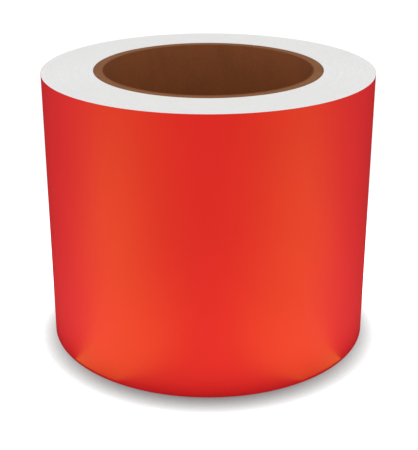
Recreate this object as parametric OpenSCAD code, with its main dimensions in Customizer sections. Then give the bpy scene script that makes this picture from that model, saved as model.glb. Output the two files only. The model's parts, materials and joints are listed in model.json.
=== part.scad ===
// Roll of self-adhesive sign vinyl, wound face out on a paper tube and standing on end.
// +Z is the roll's axis. The origin is on that axis, in the plane of the lower end.
// Seen from above, the web winds outwards anticlockwise up to its cut end.

/* [Roll] */
// Width of the web, which is the height of the roll on end
web_w = 101.6; // [50:0.1:1600]
// Length of web on the roll, in metres
web_length_m = 27.432; // [10:0.001:50]

/* [Core] */
// Diameter of the core's bore
core_bore_d = 76.2; // [50:0.1:153]
// Thickness of the smooth ply inside the bore
inside_ply_t = 0.4; // [0.1:0.05:0.8]
// Thickness of each of the six body plies
body_ply_t = 0.5; // [0.3:0.05:0.8]
// Thickness of the smooth ply outside
outside_ply_t = 0.3; // [0.1:0.05:0.6]

/* [Web] */
// Thickness of the vinyl film
film_t = 0.07; // [0.05:0.005:0.2]
// Thickness of the adhesive coat
adhesive_t = 0.025; // [0.015:0.005:0.05]
// Thickness of the paper release liner
liner_t = 0.125; // [0.05:0.005:0.2]

/* [Start tape] */
// Length of the start tape round the core
start_tape_len = 25; // [10:1:40]
// Thickness of the start tape
start_tape_t = 0.09; // [0.05:0.01:0.2]

/* [Free tail] */
// Direction of the cut end, anticlockwise from +X
cut_end_angle = 115; // [0:1:359]
// Length of the free tail round the roll
tail_len = 48; // [44:1:70]
// Length of tail from its base to the line that the film peels back to
peel_line = 14; // [8:1:20]

/* [Closing tape] */
// Width of the closing tape
tape_w = 25; // [12:1:45]
// Length of tape on each side of the cut end
tape_hold = 24; // [12:1:30]
// Thickness of the closing tape with its adhesive
tape_t = 0.05; // [0.03:0.01:0.1]

/* [Clearances] */
// Air under each layer that lifts or peels
loose_gap = 0.01; // [0.01:0.005:0.02]
// Gap beside each line that a layer folds about
fold_gap = 0.05; // [0.02:0.01:0.1]

/* [Hidden] */
$fn = 192;

kraft_brown = [0.59, 0.42, 0.26];
dark_kraft = [0.47, 0.31, 0.19];
vinyl_red = [0.85, 0.16, 0.16];
liner_white = [0.93, 0.93, 0.93];
adhesive_grey = [0.8, 0.8, 0.78, 0.6];
tape_clear = [0.9, 0.92, 0.9, 0.35];

bore_r = core_bore_d / 2;
body_r = bore_r + inside_ply_t;
body_plies = 6;
hole_over = 1;
outside_r = body_r + body_plies * body_ply_t;
core_r = outside_r + outside_ply_t;

// One turn of the web adds one pitch to the radius.
pitch = film_t + adhesive_t + liner_t;
mean_outer_r = sqrt(pow(core_r, 2) + web_length_m * 1000 * pitch / PI);

// A spiral of half turns. Each first half is centred on the core, each second half is centred
// half a pitch towards +X and is half a pitch larger, so the halves meet in line at 180 degrees.
half_step = pitch / 2;
turn_r = mean_outer_r - 1.5 * pitch;
second_half_r = turn_r + half_step;

// Heights of the layers above the inner face of their turn. The tail lies loose on the turn
// below it, and beyond the peel line its film and adhesive lie loose on the liner.
adhesive_lift = liner_t;
film_lift = liner_t + adhesive_t;
root_lift = loose_gap;
peeled_lift = 2 * loose_gap;

// The tail folds about the outer edge of its base line, the film about the outer edge of the
// peel line, and the tape about its own outer edge at the cut end.
tail_top_r = second_half_r + peeled_lift + pitch;
degrees_per_mm = 180 / (PI * tail_top_r);
base_angle = 360 - tail_len * degrees_per_mm;
peel_angle = base_angle + peel_line * degrees_per_mm;
fold_angle = fold_gap * degrees_per_mm;
tape_angle = tape_hold * degrees_per_mm;
tape_z = (web_w - tape_w) / 2;

// Part of a tube, t thick outside radius r, from angle a0 to angle a1
module band(r, t, a0, a1, h = web_w) {
  rotate_extrude(start = a0, angle = a1 - a0) translate([r, 0]) square([t, h]);
}

// A hole of radius r, which runs past both ends of the roll
module hole(r) {
  translate([0, 0, -hole_over]) cylinder(h = web_w + 2 * hole_over, r = r);
}

module tube(r, t) {
  difference() {
    cylinder(h = web_w, r = r + t);
    hole(r);
  }
}

// Turns the spiral so that its cut end lies where it should.
module wound() {
  rotate([0, 0, cut_end_angle]) children();
}

// Shifts an arc of a second half turn to its centre.
module second_half() {
  translate([half_step, 0, 0]) children();
}

module core_inside_ply() {
  color(dark_kraft) tube(bore_r, inside_ply_t);
}

module core_body_ply(n) {
  color(kraft_brown) tube(body_r + (n - 1) * body_ply_t, body_ply_t);
}

module core_outside_ply() {
  color(kraft_brown) tube(outside_r, outside_ply_t);
}

module start_tape_band() {
  rotate_extrude(angle = start_tape_len / core_r * 180 / PI)
    translate([core_r, 0])
      square([start_tape_t, web_w]);
}

module start_tape() {
  color(tape_clear) wound() start_tape_band();
}

// All turns under the outermost one. Their outer face is one pitch lower where the outer turn begins.
module wound_turns() {
  color(liner_white) wound() difference() {
    union() {
      band(core_r, turn_r - core_r, 0, 180);
      intersection() {
        second_half() cylinder(h = web_w, r = second_half_r);
        translate([-2 * turn_r, -2 * turn_r, 0]) cube([4 * turn_r, 2 * turn_r, web_w]);
      }
    }
    hole(core_r);
    start_tape_band();
  }
}

// One layer of the outermost turn, from the line where the turn begins to the tail's base
module outer_turn_layer(lift, t) {
  wound() {
    band(turn_r + lift, t, 0, 180);
    second_half() band(second_half_r + lift, t, 180, base_angle);
  }
}

module outer_turn_liner() {
  color(liner_white) outer_turn_layer(0, liner_t);
}

module outer_turn_adhesive() {
  color(adhesive_grey) outer_turn_layer(adhesive_lift, adhesive_t);
}

module outer_turn_film() {
  color(vinyl_red) outer_turn_layer(film_lift, film_t);
}

// One layer of the tail, from angle a0 to angle a1
module tail_layer(lift, t, a0, a1) {
  wound() second_half() band(second_half_r + lift, t, a0, a1);
}

module tail_liner() {
  color(liner_white) tail_layer(root_lift, liner_t, base_angle + fold_angle, 360);
}

// Between the base line and the peel line, film and adhesive stay on the liner.
module tail_root_adhesive() {
  color(adhesive_grey)
    tail_layer(root_lift + adhesive_lift, adhesive_t, base_angle + fold_angle, peel_angle);
}

module tail_root_film() {
  color(vinyl_red)
    tail_layer(root_lift + film_lift, film_t, base_angle + fold_angle, peel_angle);
}

module tail_adhesive() {
  color(adhesive_grey)
    tail_layer(peeled_lift + adhesive_lift, adhesive_t, peel_angle + fold_angle, 360);
}

module tail_film() {
  color(vinyl_red)
    tail_layer(peeled_lift + film_lift, film_t, peel_angle + fold_angle, 360);
}

// The end of the closing tape that stays on the tail's film
module closing_tape_fixed_end() {
  color(tape_clear) wound() second_half() translate([0, 0, tape_z])
    band(tail_top_r, tape_t, 360 - tape_angle, 360, tape_w);
}

// The end that holds the roll. It steps down over the cut end, then lies on the outer turn.
module closing_tape_peel_end() {
  roll_face_r = turn_r + pitch + loose_gap;
  step_h = half_step + tail_top_r + tape_t - roll_face_r;
  color(tape_clear) wound() translate([0, 0, tape_z]) {
    band(roll_face_r, step_h, fold_angle, 2 * fold_angle, tape_w);
    band(roll_face_r, tape_t, fold_angle, tape_angle, tape_w);
  }
}

core_inside_ply();
core_body_ply(1);  // core_body_ply_1
core_body_ply(2);  // core_body_ply_2
core_body_ply(3);  // core_body_ply_3
core_body_ply(4);  // core_body_ply_4
core_body_ply(5);  // core_body_ply_5
core_body_ply(6);  // core_body_ply_6
core_outside_ply();
start_tape();
wound_turns();
outer_turn_liner();
outer_turn_adhesive();
outer_turn_film();
tail_liner();
tail_root_adhesive();
tail_root_film();
tail_adhesive();
tail_film();
closing_tape_fixed_end();
closing_tape_peel_end();
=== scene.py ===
import json
import math
from typing import NamedTuple

import bmesh
import bpy
from bpy.props import FloatProperty, FloatVectorProperty, IntProperty, PointerProperty
from mathutils import Matrix, Vector


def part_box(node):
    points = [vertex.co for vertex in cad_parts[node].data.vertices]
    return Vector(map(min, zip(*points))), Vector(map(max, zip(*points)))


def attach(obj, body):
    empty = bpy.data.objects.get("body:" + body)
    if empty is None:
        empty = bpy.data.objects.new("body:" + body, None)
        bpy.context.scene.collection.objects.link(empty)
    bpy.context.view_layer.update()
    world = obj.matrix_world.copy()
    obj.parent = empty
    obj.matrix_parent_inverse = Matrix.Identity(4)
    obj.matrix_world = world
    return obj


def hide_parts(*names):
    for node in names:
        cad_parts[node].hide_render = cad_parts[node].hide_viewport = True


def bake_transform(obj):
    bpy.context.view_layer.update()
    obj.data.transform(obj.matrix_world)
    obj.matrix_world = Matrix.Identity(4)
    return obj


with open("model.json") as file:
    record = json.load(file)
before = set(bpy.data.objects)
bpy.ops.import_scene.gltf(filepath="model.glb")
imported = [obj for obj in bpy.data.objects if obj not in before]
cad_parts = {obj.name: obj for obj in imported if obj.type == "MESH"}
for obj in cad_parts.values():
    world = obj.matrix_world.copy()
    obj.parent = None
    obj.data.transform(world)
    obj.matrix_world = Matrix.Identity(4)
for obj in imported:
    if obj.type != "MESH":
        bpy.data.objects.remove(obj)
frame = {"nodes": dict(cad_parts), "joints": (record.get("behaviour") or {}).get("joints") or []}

bl_info = {
    "name": "Sign Vinyl Roll",
    "version": (1, 0, 0),
    "blender": (4, 5, 0),
    "location": "View3D > Sidebar > Vinyl Roll",
    "description": "Builds the finished pieces of a roll of sign vinyl round its CAD model",
    "category": "Add Mesh",
}

MM = 0.001
UP = Vector((0, 0, 1))

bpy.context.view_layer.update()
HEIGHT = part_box("wound_turns")[1].z
FOLD = {joint["name"]: Vector(joint["pos_m"]) for joint in frame["joints"]}
BODY_PLIES = sorted(name for name in frame["nodes"] if name.startswith("core_body_ply_"))


def reach(node):
    """The least and greatest distance of a CAD node from the roll's axis."""
    distances = [vertex.co.xy.length for vertex in frame["nodes"][node].data.vertices]
    return min(distances), max(distances)


def direction_of(point, centre=Vector((0, 0, 0))):
    """The direction of a point from a centre, anticlockwise from +X."""
    return math.atan2(point.y - centre.y, point.x - centre.x)


def direction_at(angle):
    return Vector((math.cos(angle), math.sin(angle), 0))


def ahead(start, end):
    """The angle from one direction anticlockwise to another."""
    return (end - start) % math.tau


CUT_END = direction_of(FOLD["tape_peel"])


# ---------------------------------------------------------------- sizes and colours


class VinylRollWeb(bpy.types.PropertyGroup):
    """The web: film, adhesive and liner, wound turn on turn."""

    film: FloatProperty(
        name="Film", description="Thickness of the vinyl film",
        default=0.07 * MM, unit="LENGTH", precision=6,
    )
    adhesive: FloatProperty(
        name="Adhesive", description="Thickness of the adhesive coat",
        default=reach("outer_turn_film")[0] - reach("outer_turn_adhesive")[0],
        unit="LENGTH", precision=6,
    )
    liner: FloatProperty(
        name="Liner", description="Thickness of the release liner",
        default=reach("outer_turn_adhesive")[0] - reach("outer_turn_liner")[0],
        unit="LENGTH", precision=6,
    )
    loose: FloatProperty(
        name="Loose layer", description="Air that the tail gathers under it up to its cut end",
        default=0.02 * MM, unit="LENGTH", precision=6,
    )
    setback: FloatProperty(
        name="Film setback", description="How far the film's edge lies inside the liner's edge",
        default=0.03 * MM, unit="LENGTH", precision=6,
    )
    wander: FloatProperty(
        name="Wander", description="How far the turns lie to one side or the other",
        default=0.05 * MM, unit="LENGTH", precision=6,
    )
    turn_steps: IntProperty(
        name="Turn steps", description="Steps round each inner turn", default=128, min=32,
    )
    face_steps: IntProperty(
        name="Face steps", description="Steps round the outer turn", default=360, min=64,
    )


class VinylRollCore(bpy.types.PropertyGroup):
    """The core: strips of board wound into a tube, their edges butted along a helix."""

    lead: FloatProperty(
        name="Lead", description="How far a strip climbs in one turn of the core",
        default=108 * MM, unit="LENGTH",
    )
    seam: FloatProperty(
        name="Seam", description="Gap between the butted edges of a strip",
        default=0.25 * MM, unit="LENGTH", precision=6,
    )
    rim_round: FloatProperty(
        name="Rim round", description="Radius that the knife leaves along a ply's cut rim",
        default=0.08 * MM, unit="LENGTH", precision=6,
    )
    rim_drop: FloatProperty(
        name="Rim drop", description="How far a body ply's rim may lie inside the core's ends",
        default=0.12 * MM, unit="LENGTH", precision=6,
    )
    seam_start: FloatProperty(
        name="Seam start", description="Direction in which the inside ply's seam starts",
        default=math.radians(336), subtype="ANGLE",
    )
    seam_turn: FloatProperty(
        name="Seam turn", description="How far each ply's seam is turned from the last one's",
        default=math.radians(67), subtype="ANGLE",
    )
    steps: IntProperty(
        name="Steps", description="Steps round each ply", default=144, min=48,
    )


class VinylRollTape(bpy.types.PropertyGroup):
    """The closing tape, torn off along a toothed blade at both ends."""

    thickness: FloatProperty(
        name="Thickness", description="Thickness of the tape with its adhesive",
        default=0.05 * MM, unit="LENGTH", precision=6,
    )
    tooth: FloatProperty(
        name="Tooth", description="Depth of the teeth that the blade leaves",
        default=0.7 * MM, unit="LENGTH", precision=6,
    )
    teeth: IntProperty(
        name="Teeth", description="Teeth across the tape", default=18, min=4,
    )
    gap: FloatProperty(
        name="Gap", description="Air between the tape's peel end and the roll",
        default=0.01 * MM, unit="LENGTH", precision=6,
    )
    round_step: FloatProperty(
        name="Round step", description="Length of each step round the tape",
        default=0.5 * MM, unit="LENGTH", precision=6,
    )
    step_length: FloatProperty(
        name="Step length", description="Length over which the tape steps down past the cut end",
        default=1.6 * MM, unit="LENGTH", precision=6,
    )


class VinylRollBends(bpy.types.PropertyGroup):
    """Where the tail, the film and the tape bend when they lift."""

    tail: FloatProperty(
        name="Tail bend", description="Length of tail that bends as the tail lifts",
        default=9 * MM, unit="LENGTH",
    )
    film: FloatProperty(
        name="Film bend", description="Length of film that bends as it peels",
        default=9 * MM, unit="LENGTH",
    )
    tape: FloatProperty(
        name="Tape bend", description="Length of tape that bends as it peels",
        default=5 * MM, unit="LENGTH",
    )
    step: FloatProperty(
        name="Bend step", description="Length of each step round the tail",
        default=0.5 * MM, unit="LENGTH", precision=6,
    )


def colour(name, description, value):
    return FloatVectorProperty(
        name=name, description=description, subtype="COLOR", size=3, min=0, max=1, default=value,
    )


class VinylRollColours(bpy.types.PropertyGroup):
    """The colours of the pieces."""

    film: colour("Film", "Face of the vinyl film", (0.675, 0.0070, 0.017))
    adhesive: colour("Adhesive", "Clear adhesive with the film behind it", (0.52, 0.06, 0.055))
    liner: colour("Liner", "Release liner", (0.86, 0.855, 0.84))
    liner_edge: colour("Liner edge", "Cut edge of the release liner", (0.93, 0.93, 0.93))
    film_edge: colour("Film edge", "Cut edge of film and adhesive", (0.90, 0.89, 0.89))
    board: colour("Board", "Body plies of the core", (0.30, 0.125, 0.048))
    bore: colour("Bore", "Smooth ply inside the bore", (0.245, 0.072, 0.018))
    tape: colour("Tape", "Clear closing tape", (0.52, 0.50, 0.47))


class VinylRollStudio(bpy.types.PropertyGroup):
    """The floor, the lights and the camera."""

    camera_distance: FloatProperty(
        name="Camera distance", description="From the roll's axis to the camera, level",
        default=357.5 * MM, unit="LENGTH",
    )
    camera_height: FloatProperty(
        name="Camera height", description="Height of the camera above the floor",
        default=188.5 * MM, unit="LENGTH",
    )
    camera_tilt: FloatProperty(
        name="Camera tilt", description="How far the camera looks down",
        default=math.radians(21.494), subtype="ANGLE",
    )
    camera_lens: FloatProperty(
        name="Lens", description="Focal length in millimetres", default=79.96, subtype="NONE",
    )
    camera_shift: FloatVectorProperty(
        name="Camera shift", description="Shift of the frame, as a share of its longer side",
        subtype="NONE", size=2, default=(0.0018, -0.0444),
    )
    floor_radius: FloatProperty(
        name="Floor radius", description="Radius of the floor", default=6, unit="LENGTH",
    )
    sky: FloatProperty(name="Sky", description="Strength of the white surroundings", default=0.95)
    near_sheen: FloatProperty(
        name="Near sheen", description="Power of each near floor light in watts", default=0.17,
    )
    far_sheen: FloatProperty(
        name="Far sheen", description="Power of each far floor light in watts", default=0.75,
    )
    sheen_colour: colour("Sheen colour", "Colour of the floor lights", (1, 0.86, 0.09))
    # The floor's near glow is a painted pool of light, and its shade is a painted shadow in that glow.
    painted_near_glow: FloatProperty(
        name="Near glow", description="How brightly the floor glows next to the roll", default=1.9,
    )
    glow_reach: FloatVectorProperty(
        name="Glow reach", description="Distances from the axis between which the near glow fades",
        size=2, unit="LENGTH", default=(0.068, 0.19),
    )
    shade_reach: FloatProperty(
        name="Shade reach", description="How far the shade runs out from what touches the floor",
        default=16 * MM, unit="LENGTH",
    )
    shade_depth: FloatProperty(
        name="Shade depth", description="How dark the shade is; 1 is plain", default=2.05,
    )
    # The painted shadow leans away from this way, as if lit from there.
    shade_lean: FloatVectorProperty(
        name="Shade lean", description="The way to the light that the shade runs away from",
        subtype="DIRECTION", size=3, default=(0, 0.8, 1),
    )


# ---------------------------------------------------------------- finishes


NOISE_LOW, NOISE_HIGH = 0.3, 0.7  # nearly all of a noise texture's values lie between these


class Finish:
    """A material on Object coordinates, put together node by node."""

    def __init__(self, name, colour, roughness, specular):
        self.material = bpy.data.materials.new(name)
        self.material.use_nodes = True
        self.nodes = self.material.node_tree.nodes
        self.links = self.material.node_tree.links
        self.shader = self.nodes["Principled BSDF"]
        self.shader.inputs["Base Color"].default_value = (*colour, 1)
        self.shader.inputs["Roughness"].default_value = roughness
        self.shader.inputs["Specular IOR Level"].default_value = specular
        self.place = self.nodes.new("ShaderNodeTexCoord").outputs["Object"]

    def stretched(self, scale):
        """Object coordinates, scaled by a factor along each axis."""
        mapping = self.nodes.new("ShaderNodeMapping")
        mapping.inputs["Scale"].default_value = scale
        self.links.new(self.place, mapping.inputs["Vector"])
        return mapping.outputs["Vector"]

    def noise(self, size, detail=2, stretch=None):
        """Noise with spots of about the given size."""
        texture = self.nodes.new("ShaderNodeTexNoise")
        texture.inputs["Scale"].default_value = 1 / size
        texture.inputs["Detail"].default_value = detail
        self.links.new(self.stretched(stretch) if stretch else self.place, texture.inputs["Vector"])
        return texture.outputs["Fac"]

    def rings(self, width):
        """Noise that changes only with the distance from the roll's axis."""
        flat = self.nodes.new("ShaderNodeVectorMath")
        flat.operation = "LENGTH"
        self.links.new(self.stretched((1, 1, 0)), flat.inputs[0])
        texture = self.nodes.new("ShaderNodeTexNoise")
        texture.noise_dimensions = "1D"
        texture.inputs["Scale"].default_value = 1 / width
        self.links.new(flat.outputs["Value"], texture.inputs["W"])
        return texture.outputs["Fac"]

    def between(self, factor, low, high):
        """A number from low to high, as the factor goes over the middle of its range."""
        spread = self.nodes.new("ShaderNodeMapRange")
        spread.inputs["From Min"].default_value = NOISE_LOW
        spread.inputs["From Max"].default_value = NOISE_HIGH
        spread.inputs["To Min"].default_value = low
        spread.inputs["To Max"].default_value = high
        self.links.new(factor, spread.inputs["Value"])
        return spread.outputs["Result"]

    def shade(self, factor, change, base=None):
        """The base colour, lightened and darkened by up to a share as the factor changes."""
        scale = self.nodes.new("ShaderNodeVectorMath")
        scale.operation = "SCALE"
        if base is None:
            scale.inputs[0].default_value = self.shader.inputs["Base Color"].default_value[:3]
        else:
            self.links.new(base, scale.inputs[0])
        self.links.new(self.between(factor, 1 - change, 1 + change), scale.inputs["Scale"])
        self.links.new(scale.outputs["Vector"], self.shader.inputs["Base Color"])
        return scale.outputs["Vector"]

    def roughen(self, factor, low, high):
        self.links.new(self.between(factor, low, high), self.shader.inputs["Roughness"])

    def bump(self, factor, depth, under=None):
        """Raises the surface by up to a depth where the factor is high."""
        bump = self.nodes.new("ShaderNodeBump")
        bump.inputs["Distance"].default_value = depth
        self.links.new(factor, bump.inputs["Height"])
        if under is not None:
            self.links.new(under, bump.inputs["Normal"])
        self.links.new(bump.outputs["Normal"], self.shader.inputs["Normal"])
        return bump.outputs["Normal"]


def film_finish(colours):
    """Calendered film: an even satin face with a fine orange peel."""
    finish = Finish("vinyl_face", colours.film, 0.46, 0.22)
    finish.shader.inputs["Specular Tint"].default_value = (1, 0.95, 0.04, 1)
    finish.shade(finish.noise(26 * MM, 3), 0.02)
    grain = finish.noise(0.5 * MM, 3)
    finish.roughen(grain, 0.43, 0.49)
    waves = finish.bump(finish.noise(18 * MM, 1, (1, 1, 0.35)), 0.05 * MM)
    finish.bump(grain, 0.002 * MM, waves)
    return finish.material


def adhesive_finish(colours):
    """Clear adhesive: glossy, with the film's colour behind it and the liner's print in it."""
    finish = Finish("adhesive_coat", colours.adhesive, 0.2, 0.35)
    finish.shade(finish.noise(6 * MM, 3), 0.05)
    grain = finish.noise(0.7 * MM, 4)
    finish.roughen(grain, 0.14, 0.3)
    finish.bump(grain, 0.006 * MM)
    return finish.material


def liner_finish(colours):
    """Coated paper: nearly white, with faint clouds and a fine grain."""
    finish = Finish("liner_paper", colours.liner, 0.4, 0.35)
    clouds = finish.shade(finish.noise(9 * MM, 3), 0.015)
    fibres = finish.noise(0.6 * MM, 3, (1, 1, 0.4))
    finish.shade(fibres, 0.02, clouds)
    finish.roughen(fibres, 0.34, 0.48)
    finish.bump(fibres, 0.005 * MM)
    return finish.material


def edge_finish(name, colour):
    """The slit edge of a layer, a little lighter and darker from turn to turn."""
    finish = Finish(name, colour, 0.75, 0.25)
    broad = finish.shade(finish.rings(1.4 * MM), 0.012)
    fibres = finish.noise(0.35 * MM, 3)
    finish.shade(fibres, 0.03, broad)
    finish.roughen(fibres, 0.65, 0.85)
    finish.bump(fibres, 0.01 * MM)
    return finish.material


def board_finish(colours):
    """Uncoated core board: brown pulp with lighter and darker fibres."""
    finish = Finish("pulp_board", colours.board, 0.88, 0.2)
    pulp = finish.shade(finish.noise(1.6 * MM, 4), 0.10)
    fibres = finish.noise(0.22 * MM, 4, (1, 1, 0.5))
    finish.shade(fibres, 0.14, pulp)
    finish.roughen(fibres, 0.8, 0.95)
    finish.bump(fibres, 0.03 * MM)
    return finish.material


def bore_finish(colours):
    """Smooth kraft paper inside the bore, darker than the board."""
    finish = Finish("bore_kraft", colours.bore, 0.7, 0.25)
    clouds = finish.shade(finish.noise(7 * MM, 4, (1, 1, 0.6)), 0.06)
    fibres = finish.noise(0.5 * MM, 4, (1, 1, 0.3))
    finish.shade(fibres, 0.10, clouds)
    finish.roughen(fibres, 0.6, 0.8)
    finish.bump(fibres, 0.015 * MM)
    return finish.material


def tape_finish(colours):
    """Clear tape, faintly clouded where it is not quite stuck."""
    finish = Finish("tape_face", colours.tape, 0.16, 0.5)
    clouds = finish.noise(3 * MM, 3)
    finish.shade(clouds, 0.06)
    finish.roughen(clouds, 0.12, 0.22)
    finish.shader.inputs["Alpha"].default_value = 0.1
    return finish.material


FINISHES = {
    "vinyl_face": film_finish,
    "adhesive_coat": adhesive_finish,
    "liner_paper": liner_finish,
    "liner_edge": lambda colours: edge_finish("liner_edge", colours.liner_edge),
    "film_edge": lambda colours: edge_finish("film_edge", colours.film_edge),
    "pulp_board": board_finish,
    "bore_kraft": bore_finish,
    "tape_face": tape_finish,
}


def finish_named(name):
    return bpy.data.materials.get(name) or FINISHES[name](bpy.context.scene.vinyl_roll_colours)


# ---------------------------------------------------------------- shapes


LEVEL = 0.7  # a face whose normal rises more than this counts as level
SHARP = math.radians(40)


def corner(centre, angle, radius, height):
    return centre + direction_at(angle) * radius + UP * height


def profile(bm, centre, angle, radii, heights, capped=True):
    """An upright rectangle across a layer, and its edges and corners."""
    corners = [(0, 0), (1, 0), (1, 1), (0, 1)]
    verts = [
        bm.verts.new(corner(centre, angle, radii[across], heights[along]))
        for across, along in corners
    ]
    edges = [bm.edges.new((verts[i - 1], verts[i])) for i in range(len(verts))]
    faces = [bm.faces.new(verts)] if capped else []
    return [*faces, *edges, *verts]


def spin(bm, geometry, centre, angle, steps, climb=0):
    """Spins a profile anticlockwise about an upright line, and returns its far end."""
    made = bmesh.ops.spin(
        bm, geom=geometry, cent=centre, axis=UP, dvec=UP * (climb / steps),
        angle=angle, steps=steps, use_merge=False, use_duplicate=False,
    )
    return made["geom_last"]


def add_to(whole, part):
    """Moves what one bmesh holds into another."""
    mesh = bpy.data.meshes.new("part")
    part.to_mesh(mesh)
    part.free()
    whole.from_mesh(mesh)
    bpy.data.meshes.remove(mesh)


def is_end_face(face):
    """True for a face of the roll's upper or lower end."""
    return abs(face.normal.z) > LEVEL


END_SIZE = 0.24  # radius of each end in the UV map


def map_ends(bm):
    """Lays the two ends side by side in the upper half of a UV map, and the sides in its lower half."""
    layer = bm.loops.layers.uv.new("OFBake")
    outer = reach("outer_turn_film")[1]
    bm.normal_update()
    for face in bm.faces:
        middle = 0.25 if face.normal.z > 0 else 0.75
        for loop in face.loops:
            place = loop.vert.co
            if is_end_face(face):
                across = middle + END_SIZE * place.x / outer
                up = 0.75 + END_SIZE * place.y / outer
            else:
                across = 0.5 + 2 * END_SIZE * direction_of(place) / math.pi
                up = 0.02 + 0.46 * place.z / HEIGHT
            loop[layer].uv = (across, up)


def new_piece(bm, name, side, edge=None):
    """Turns a bmesh into a piece. Its sides take one finish, and its cut edges may take another."""
    bmesh.ops.recalc_face_normals(bm, faces=bm.faces)
    bm.normal_update()
    if edge:
        for face in bm.faces:
            face.material_index = int(is_end_face(face))
    mesh = bpy.data.meshes.new(name)
    bm.to_mesh(mesh)
    bm.free()
    mesh.materials.append(finish_named(side))
    if edge:
        mesh.materials.append(finish_named(edge))
    mesh.shade_smooth()
    mesh.set_sharp_from_angle(angle=SHARP)
    piece = bpy.data.objects.new(name, mesh)
    bpy.context.scene.collection.objects.link(piece)
    return piece


def roll_up(piece, body, *nodes):
    """Puts a piece on its CAD body in place of the CAD nodes that it stands for."""
    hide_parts(*nodes)
    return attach(piece, body)


# ---------------------------------------------------------------- core


PLY_PHASE = 2.3  # radians from ply to ply


def wound_ply(inner, outer, heights, start, core):
    """One ply: a strip that climbs round the core, trimmed off level at both ends."""
    bm = bmesh.new()
    low, high = heights
    turns = math.ceil((high - low) / core.lead) + 1
    bottom = low - core.lead
    strip = profile(bm, Vector(), start, (inner, outer), (bottom, bottom + core.lead - core.seam))
    spin(bm, strip, Vector(), math.tau * turns, core.steps * turns, core.lead * turns)
    for height, outwards in ((low, -UP), (high, UP)):
        geometry = [*bm.verts, *bm.edges, *bm.faces]
        bmesh.ops.bisect_plane(
            bm, geom=geometry, plane_co=UP * height, plane_no=outwards, clear_outer=True,
        )
    open_edges = [edge for edge in bm.edges if edge.is_boundary]
    bmesh.ops.holes_fill(bm, edges=open_edges, sides=0)
    bmesh.ops.recalc_face_normals(bm, faces=bm.faces)
    bm.normal_update()
    rims = {edge for face in bm.faces if is_end_face(face) for edge in face.edges}
    bmesh.ops.bevel(
        bm, geom=list(rims), offset=core.rim_round, offset_type="OFFSET", affect="EDGES",
        segments=2, profile=0.5, material=-1, clamp_overlap=True,
    )
    return bm


def rim_depth(number, core):
    """How far the rim of one body ply lies inside the core's ends; it differs from ply to ply."""
    return core.rim_drop * (1 + math.sin(number * PLY_PHASE)) / 2


class VINYLROLL_OT_core(bpy.types.Operator):
    """Winds the plies of the core"""

    bl_idname = "vinyl_roll.core"
    bl_label = "Core"

    def execute(self, context):
        core = context.scene.vinyl_roll_core
        nodes = ["core_inside_ply", *BODY_PLIES, "core_outside_ply"]
        for number, node in enumerate(nodes):
            inner, outer = reach(node)
            drop = rim_depth(number, core) if node in BODY_PLIES else 0
            start = core.seam_start + core.seam_turn * number
            bm = wound_ply(inner, outer, (drop, HEIGHT - drop), start, core)
            if node == "core_inside_ply":
                piece = new_piece(bm, "bore_paper", "bore_kraft")
            else:
                piece = new_piece(bm, f"board_strip_{number}", "pulp_board")
            roll_up(piece, "roll", node)
        return {"FINISHED"}


# ---------------------------------------------------------------- wound web


SLOW_WANDER = 0.31  # radians per turn
QUICK_WANDER = 1.27
WELD = 0.001 * MM


class Winding:
    """A spiral of half turns, centred in turn on the core and half a pitch towards the cut end."""

    def __init__(self, web):
        self.web = web
        self.outer_turn = reach("outer_turn_liner")[0]
        self.core = reach("core_outside_ply")[1]
        nominal = web.film + web.adhesive + web.liner
        self.turns = round((self.outer_turn - self.core) / nominal)
        self.pitch = (self.outer_turn - self.core) / self.turns
        self.centres = (Vector(), direction_at(CUT_END) * (self.pitch / 2))

    def wander_at(self, radius):
        """How far the turn of this radius lies towards the upper end."""
        turn = (radius - self.core) / self.pitch
        slow = math.sin(turn * SLOW_WANDER)
        quick = math.sin(turn * QUICK_WANDER + 1)
        return self.web.wander * (slow + quick) / 2

    def half_turn(self, number, lift, thickness, heights):
        """Half a turn of one layer, as an open-ended tube of rectangular section."""
        bm = bmesh.new()
        centre = self.centres[number % 2]
        radius = self.core + lift + (number + number % 2) * self.pitch / 2
        start = CUT_END + math.pi * number
        end = profile(bm, centre, start, (radius, radius + thickness), heights, capped=False)
        spin(bm, end, centre, math.pi, self.web.turn_steps // 2)
        return bm

    def ribbon(self, lift, thickness, inset):
        """One layer of all the turns under the outer one, as a strip that spirals out."""
        whole = bmesh.new()
        heights = (inset, HEIGHT - inset)
        for number in range(2 * self.turns):
            part = self.half_turn(number, lift, thickness, heights)
            add_to(whole, part)
        bmesh.ops.remove_doubles(whole, verts=whole.verts, dist=WELD)
        bmesh.ops.holes_fill(whole, edges=whole.edges, sides=4)
        for vert in whole.verts:
            vert.co.z += self.wander_at(vert.co.xy.length)
        bmesh.ops.recalc_face_normals(whole, faces=whole.faces)
        map_ends(whole)
        return whole


def tape_sweep():
    """The angle that the start tape covers, anticlockwise from the cut end's direction."""
    angles = [
        ahead(CUT_END, direction_of(vertex.co))
        for vertex in frame["nodes"]["start_tape"].data.vertices
    ]
    return max(angle for angle in angles if angle < math.pi)


def make_room_for_tape(bm):
    """Moves the inner face of the first turn out, to where it lies on the start tape."""
    face = reach("start_tape")[1]
    sweep = tape_sweep()
    for vert in bm.verts:
        under = vert.co.xy.length < face - WELD
        if under and ahead(CUT_END, direction_of(vert.co)) <= sweep:
            vert.co.xy = vert.co.xy.normalized() * face


class VINYLROLL_OT_wound_web(bpy.types.Operator):
    """Winds the film and the liner of every turn under the outer one"""

    bl_idname = "vinyl_roll.wound_web"
    bl_label = "Wound web"

    def execute(self, context):
        web = context.scene.vinyl_roll_web
        winding = Winding(web)
        liner = winding.ribbon(0, web.liner, web.wander)
        make_room_for_tape(liner)
        piece = new_piece(liner, "wound_liner", "liner_paper", "liner_edge")
        roll_up(piece, "roll", "wound_turns")
        film = winding.ribbon(
            web.liner, winding.pitch - web.liner, web.wander + web.setback,
        )
        piece = new_piece(film, "wound_film", "vinyl_face", "film_edge")
        roll_up(piece, "roll", "wound_turns")
        return {"FINISHED"}


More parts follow.
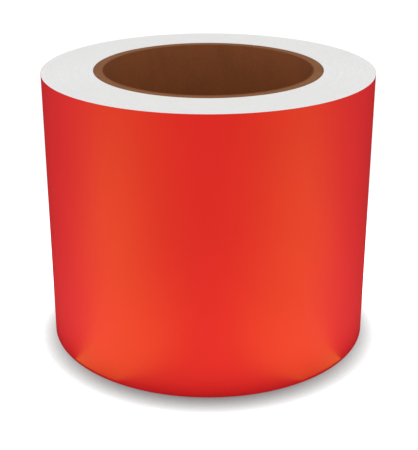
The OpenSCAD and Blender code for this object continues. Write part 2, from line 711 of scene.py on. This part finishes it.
class VINYLROLL_OT_start_tape(bpy.types.Operator):
    """Lays the tape that starts the web on the core"""

    bl_idname = "vinyl_roll.start_tape"
    bl_label = "Start tape"

    def execute(self, context):
        bm = bmesh.new()
        low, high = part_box("start_tape")
        inner, outer = reach("start_tape")
        end = profile(bm, Vector(), CUT_END, (inner, outer), (low.z, high.z))
        spin(bm, end, Vector(), tape_sweep(), 40)
        piece = new_piece(bm, "start_tape_strip", "tape_face")
        roll_up(piece, "roll", "start_tape")
        return {"FINISHED"}


# ---------------------------------------------------------------- outer turn and tail


def base_direction(winding):
    """The direction of the tail's base line from the centre of its half turn."""
    return direction_of(FOLD["tail_lift"], winding.centres[1])


def peel_direction(winding):
    return direction_of(FOLD["film_peel"], winding.centres[1])


class Layer(NamedTuple):
    """One layer of the web: its height above the turn's inner face, its edges and its finish."""

    lift: float
    thickness: float
    inset: float
    slot: str
    side: str
    edge: str | None


def layers_of(web):
    """The liner, the adhesive and the film."""
    film_lift = web.liner + web.adhesive
    liner = Layer(0, web.liner, 0, "release_liner", "liner_paper", "liner_edge")
    adhesive = Layer(web.liner, web.adhesive, web.setback, "adhesive", "adhesive_coat", None)
    film = Layer(film_lift, web.film, web.setback, "red_film", "vinyl_face", None)
    return liner, adhesive, film


def outer_band(winding, layer):
    """One layer of the outer turn, up to the tail's base line."""
    bm = bmesh.new()
    steps = winding.web.face_steps
    radius = winding.outer_turn + layer.lift
    heights = (layer.inset, HEIGHT - layer.inset)
    end = profile(
        bm, winding.centres[0], CUT_END, (radius, radius + layer.thickness), heights,
    )
    end = spin(bm, end, winding.centres[0], math.pi, steps // 2)
    rest = ahead(CUT_END + math.pi, base_direction(winding))
    spin(bm, end, winding.centres[1], rest, round(steps * rest / math.tau))
    return bm


def tail_band(winding, layer, start, stop, loose):
    """One layer of the tail from one direction to another, over air that grows along it."""
    bm = bmesh.new()
    centre = winding.centres[1]
    radius = winding.outer_turn + winding.pitch / 2 + layer.lift
    sweep = ahead(start, stop)
    steps = math.ceil(sweep * radius / bpy.context.scene.vinyl_roll_bends.step)
    heights = (layer.inset, HEIGHT - layer.inset)
    end = profile(bm, centre, start, (radius, radius + layer.thickness), heights)
    spin(bm, end, centre, sweep, steps)
    for vert in bm.verts:
        out = Vector((vert.co.x - centre.x, vert.co.y - centre.y, 0))
        share = ahead(start, direction_of(out)) / sweep
        # A point on the start line may count as a whole turn ahead of it.
        share = share if share < 1.5 else 0
        vert.co += out.normalized() * (loose[0] + (loose[1] - loose[0]) * share)
    return bm


def along(start, centre, length):
    """The point a length further round than a point on a band about a centre."""
    radial = Vector((start.x - centre.x, start.y - centre.y, 0)).normalized()
    return start + UP.cross(radial) * length


class VINYLROLL_OT_outer_turn(bpy.types.Operator):
    """Wraps the three layers of the outer turn"""

    bl_idname = "vinyl_roll.outer_turn"
    bl_label = "Outer turn"

    def execute(self, context):
        web = context.scene.vinyl_roll_web
        winding = Winding(web)
        for layer, kind in zip(layers_of(web), ("liner", "adhesive", "film")):
            bm = outer_band(winding, layer)
            piece = new_piece(bm, f"outer_{kind}", layer.side, layer.edge)
            roll_up(piece, "roll", f"outer_turn_{kind}")
        return {"FINISHED"}


class VINYLROLL_OT_tail(bpy.types.Operator):
    """Lays the free tail: liner, film and adhesive up to the cut end"""

    bl_idname = "vinyl_roll.tail"
    bl_label = "Tail"

    def execute(self, context):
        web = context.scene.vinyl_roll_web
        winding = Winding(web)
        base, peel = base_direction(winding), peel_direction(winding)
        halfway = web.loose * ahead(base, peel) / ahead(base, CUT_END)
        liner, adhesive, film = layers_of(web)

        def lay(name, node, layer, start, stop, loose):
            bm = tail_band(winding, layer, start, stop, loose)
            piece = new_piece(bm, name, layer.side, layer.edge)
            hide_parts(node)
            return piece

        root = (base, peel, (0, halfway))
        flap = (peel, CUT_END, (halfway, web.loose))
        lifted = (
            lay("tail_paper", "tail_liner", liner, base, CUT_END, (0, halfway)),
            lay("root_adhesive", "tail_root_adhesive", adhesive, *root),
            lay("root_film", "tail_root_film", film, *root),
        )
        for piece in lifted:
            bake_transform(piece)
        peeled = (
            lay("flap_adhesive", "tail_adhesive", adhesive, *flap),
            lay("flap_film", "tail_film", film, *flap),
        )
        for piece in peeled:
            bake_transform(piece)
        return {"FINISHED"}


# ---------------------------------------------------------------- closing tape


ON_THE_LINE = 1e-4  # radians


def toothed_strip(centre, radii, heights, start, sweep, tape, toothed_end):
    """A strip of tape whose far or near end has the teeth of the blade that tore it."""
    bm = bmesh.new()
    strip = profile(bm, centre, start, radii, heights)
    upright = [edge for edge in bm.edges if edge.verts[0].co.z != edge.verts[1].co.z]
    bmesh.ops.subdivide_edges(bm, edges=upright, cuts=2 * tape.teeth - 1, use_grid_fill=True)
    strip = [*bm.faces, *bm.edges, *bm.verts]
    steps = math.ceil(sweep * radii[1] / tape.round_step)
    spin(bm, strip, centre, sweep, steps)
    end = (start + sweep) if toothed_end == "far" else start
    pull = -tape.tooth if toothed_end == "far" else tape.tooth
    pitch = (heights[1] - heights[0]) / tape.teeth
    for vert in bm.verts:
        out = Vector((vert.co.x - centre.x, vert.co.y - centre.y, 0))
        away = ahead(end - math.pi, direction_of(out)) - math.pi
        if abs(away) < ON_THE_LINE:
            phase = (vert.co.z - heights[0]) / pitch % 1
            bite = 2 * min(phase, 1 - phase) * pull / out.length
            turn = Matrix.Rotation(bite, 3, "Z")
            vert.co = centre + turn @ out + UP * vert.co.z
    return bm


class VINYLROLL_OT_closing_tape(bpy.types.Operator):
    """Sticks the closing tape over the cut end"""

    bl_idname = "vinyl_roll.closing_tape"
    bl_label = "Closing tape"

    def execute(self, context):
        web = context.scene.vinyl_roll_web
        tape = context.scene.vinyl_roll_tape
        winding = Winding(web)
        low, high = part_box("closing_tape_fixed_end")
        heights = (low.z, high.z)
        centre = winding.centres[1]
        sweep = self.held_sweep(winding)
        tail_top = winding.outer_turn + winding.pitch * 1.5 + web.loose
        radii = (tail_top, tail_top + tape.thickness)
        bm = toothed_strip(centre, radii, heights, CUT_END - sweep, sweep, tape, "near")
        piece = new_piece(bm, "tape_on_tail", "tape_face")
        roll_up(piece, "peeled_film", "closing_tape_fixed_end")

        face = winding.outer_turn + winding.pitch
        radii = (face + tape.gap, face + tape.gap + tape.thickness)
        bm = toothed_strip(Vector(), radii, heights, CUT_END, sweep, tape, "far")
        step = tail_top + winding.pitch / 2 - radii[0]
        for vert in bm.verts:
            out = Vector((vert.co.x, vert.co.y, 0))
            away = ahead(CUT_END, direction_of(vert.co)) * out.length
            share = away / tape.step_length if away < math.pi * out.length else 0
            if share < 1:
                fall = 1 - share * share * (3 - 2 * share)
                vert.co += out.normalized() * step * fall
        piece = new_piece(bm, "tape_on_roll", "tape_face")
        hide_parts("closing_tape_peel_end")
        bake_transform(piece)
        return {"FINISHED"}

    def held_sweep(self, winding):
        """The angle that the tape covers on each side of the cut end."""
        angles = [
            ahead(direction_of(vertex.co, winding.centres[1]), CUT_END)
            for vertex in frame["nodes"]["closing_tape_fixed_end"].data.vertices
        ]
        return max(angle for angle in angles if angle < math.pi)


# ---------------------------------------------------------------- studio


class FloorPatch(NamedTuple):
    """Where a flat light lies on the floor, for the right side; the left side mirrors it."""

    turn: float  # direction of its near end, from the front
    distance: float  # from the axis to its near end
    heading: float  # direction that it runs in, from the front
    length: float
    width: float


NEAR_PATCH = FloorPatch(math.radians(22), 74 * MM, math.radians(74), 300 * MM, 75 * MM)
FAR_PATCH = FloorPatch(math.radians(34), 200 * MM, math.radians(78), 400 * MM, 280 * MM)
FRONT = -math.pi / 2
LIGHT_HEIGHT = 1 * MM


def floor_light(name, side, patch, power):
    """A flat light that lies on the floor and is seen only as a sheen on the film."""
    light = bpy.data.lights.new(name, "AREA")
    light.shape = "RECTANGLE"
    light.size, light.size_y = patch.length, patch.width
    light.energy = power
    light.color = bpy.context.scene.vinyl_roll_studio.sheen_colour
    heading = FRONT + side * patch.heading
    near_end = direction_at(FRONT + side * patch.turn) * patch.distance
    lamp = bpy.data.objects.new(name, light)
    lamp.location = near_end + direction_at(heading) * (patch.length / 2) + UP * LIGHT_HEIGHT
    lamp.rotation_euler = (math.pi, 0, heading)
    lamp.visible_diffuse = False
    bpy.context.scene.collection.objects.link(lamp)


def white_surroundings(strength):
    """A world that looks white and lights the roll evenly, but isn't mirrored in it."""
    world = bpy.data.worlds.new("studio")
    bpy.context.scene.world = world
    world.use_nodes = True
    nodes, links = world.node_tree.nodes, world.node_tree.links
    background = nodes["Background"]
    background.inputs["Color"].default_value = (1, 1, 1, 1)
    path = nodes.new("ShaderNodeLightPath")
    seen = nodes.new("ShaderNodeMapRange")
    seen.inputs["To Min"].default_value = strength
    seen.inputs["To Max"].default_value = 1
    links.new(path.outputs["Is Camera Ray"], seen.inputs["Value"])
    links.new(seen.outputs["Result"], background.inputs["Strength"])
    world.cycles_visibility.glossy = False


def painted_near_glow(finish, studio):
    """A painted pool of light: a glow strength that fades from next to the roll to the open floor."""
    away = finish.nodes.new("ShaderNodeVectorMath")
    away.operation = "LENGTH"
    finish.links.new(finish.place, away.inputs[0])
    glow = finish.nodes.new("ShaderNodeMapRange")
    glow.interpolation_type = "SMOOTHSTEP"
    start, end = studio.glow_reach
    glow.inputs["From Min"].default_value = start
    glow.inputs["From Max"].default_value = end
    glow.inputs["To Min"].default_value = studio.painted_near_glow
    glow.inputs["To Max"].default_value = 1
    finish.links.new(away.outputs["Value"], glow.inputs["Value"])
    return glow.outputs["Result"]


def painted_contact_shadow(finish, studio):
    """A painted shadow: a glow strength that falls off next to whatever stands on the floor."""
    leaning = finish.nodes.new("ShaderNodeVectorMath")
    leaning.operation = "NORMALIZE"
    leaning.inputs[0].default_value = studio.shade_lean
    touch = finish.nodes.new("ShaderNodeAmbientOcclusion")
    touch.inputs["Distance"].default_value = studio.shade_reach
    finish.links.new(leaning.outputs["Vector"], touch.inputs["Normal"])
    shaded = finish.nodes.new("ShaderNodeMath")
    shaded.operation = "POWER"
    shaded.inputs[1].default_value = studio.shade_depth
    finish.links.new(touch.outputs["AO"], shaded.inputs[0])
    return shaded.outputs["Value"]


def pale_floor(studio):
    """A white floor that glows, more so near the roll as a painted pool of light, with a painted shadow
    where things touch it.
    """
    bm = bmesh.new()
    bmesh.ops.create_circle(bm, cap_ends=True, segments=96, radius=studio.floor_radius)
    mesh = bpy.data.meshes.new("floor")
    bm.to_mesh(mesh)
    bm.free()
    finish = Finish("pale_floor", (0.10, 0.10, 0.10), 0.9, 0)
    finish.shade(finish.noise(0.4, 2), 0.01)
    strength = finish.nodes.new("ShaderNodeMath")
    strength.operation = "MULTIPLY"
    finish.links.new(painted_near_glow(finish, studio), strength.inputs[0])
    finish.links.new(painted_contact_shadow(finish, studio), strength.inputs[1])
    finish.shader.inputs["Emission Color"].default_value = (1, 1, 1, 1)
    finish.links.new(strength.outputs["Value"], finish.shader.inputs["Emission Strength"])
    mesh.materials.append(finish.material)
    floor = bpy.data.objects.new("floor", mesh)
    bpy.context.scene.collection.objects.link(floor)
    floor.visible_glossy = False


class VINYLROLL_OT_studio(bpy.types.Operator):
    """Sets out the floor, the lights and the camera"""

    bl_idname = "vinyl_roll.studio"
    bl_label = "Studio"

    def execute(self, context):
        studio = context.scene.vinyl_roll_studio
        context.scene.view_settings.view_transform = "Standard"
        pale_floor(studio)
        white_surroundings(studio.sky)
        for side, hand in ((-1, "left"), (1, "right")):
            floor_light(f"near_sheen_{hand}", side, NEAR_PATCH, studio.near_sheen)
            floor_light(f"far_sheen_{hand}", side, FAR_PATCH, studio.far_sheen)
        camera = bpy.data.cameras.new("camera")
        camera.lens = studio.camera_lens
        camera.shift_x, camera.shift_y = studio.camera_shift
        stand = bpy.data.objects.new("camera", camera)
        stand.location = (0, -studio.camera_distance, studio.camera_height)
        stand.rotation_euler = (math.pi / 2 - studio.camera_tilt, 0, 0)
        context.scene.collection.objects.link(stand)
        context.scene.camera = stand
        return {"FINISHED"}


# ---------------------------------------------------------------- add-on


PIECES = (
    VINYLROLL_OT_core,
    VINYLROLL_OT_wound_web,
    VINYLROLL_OT_start_tape,
    VINYLROLL_OT_outer_turn,
    VINYLROLL_OT_tail,
    VINYLROLL_OT_closing_tape,
    VINYLROLL_OT_studio,
)
GROUPS = {
    "vinyl_roll_web": VinylRollWeb,
    "vinyl_roll_core": VinylRollCore,
    "vinyl_roll_tape": VinylRollTape,
    "vinyl_roll_bends": VinylRollBends,
    "vinyl_roll_colours": VinylRollColours,
    "vinyl_roll_studio": VinylRollStudio,
}


class VINYLROLL_PT_panel(bpy.types.Panel):
    """Lists the steps and sizes of the roll"""

    bl_label = "Vinyl Roll"
    bl_idname = "VINYLROLL_PT_panel"
    bl_space_type = "VIEW_3D"
    bl_region_type = "UI"
    bl_category = "Vinyl Roll"

    def draw(self, context):
        for operator in PIECES:
            self.layout.operator(operator.bl_idname)
        for group, kind in GROUPS.items():
            box = self.layout.box()
            for name in kind.__annotations__:
                box.prop(getattr(context.scene, group), name)


def register():
    for kind in (*GROUPS.values(), *PIECES, VINYLROLL_PT_panel):
        bpy.utils.register_class(kind)
    for name, kind in GROUPS.items():
        setattr(bpy.types.Scene, name, PointerProperty(type=kind))


def unregister():
    for name in GROUPS:
        delattr(bpy.types.Scene, name)
    for kind in reversed((*GROUPS.values(), *PIECES, VINYLROLL_PT_panel)):
        bpy.utils.unregister_class(kind)


def main():
    register()
    for operator in PIECES:
        group, name = operator.bl_idname.split(".")
        getattr(getattr(bpy.ops, group), name)()


if __name__ == "__main__":
    main()
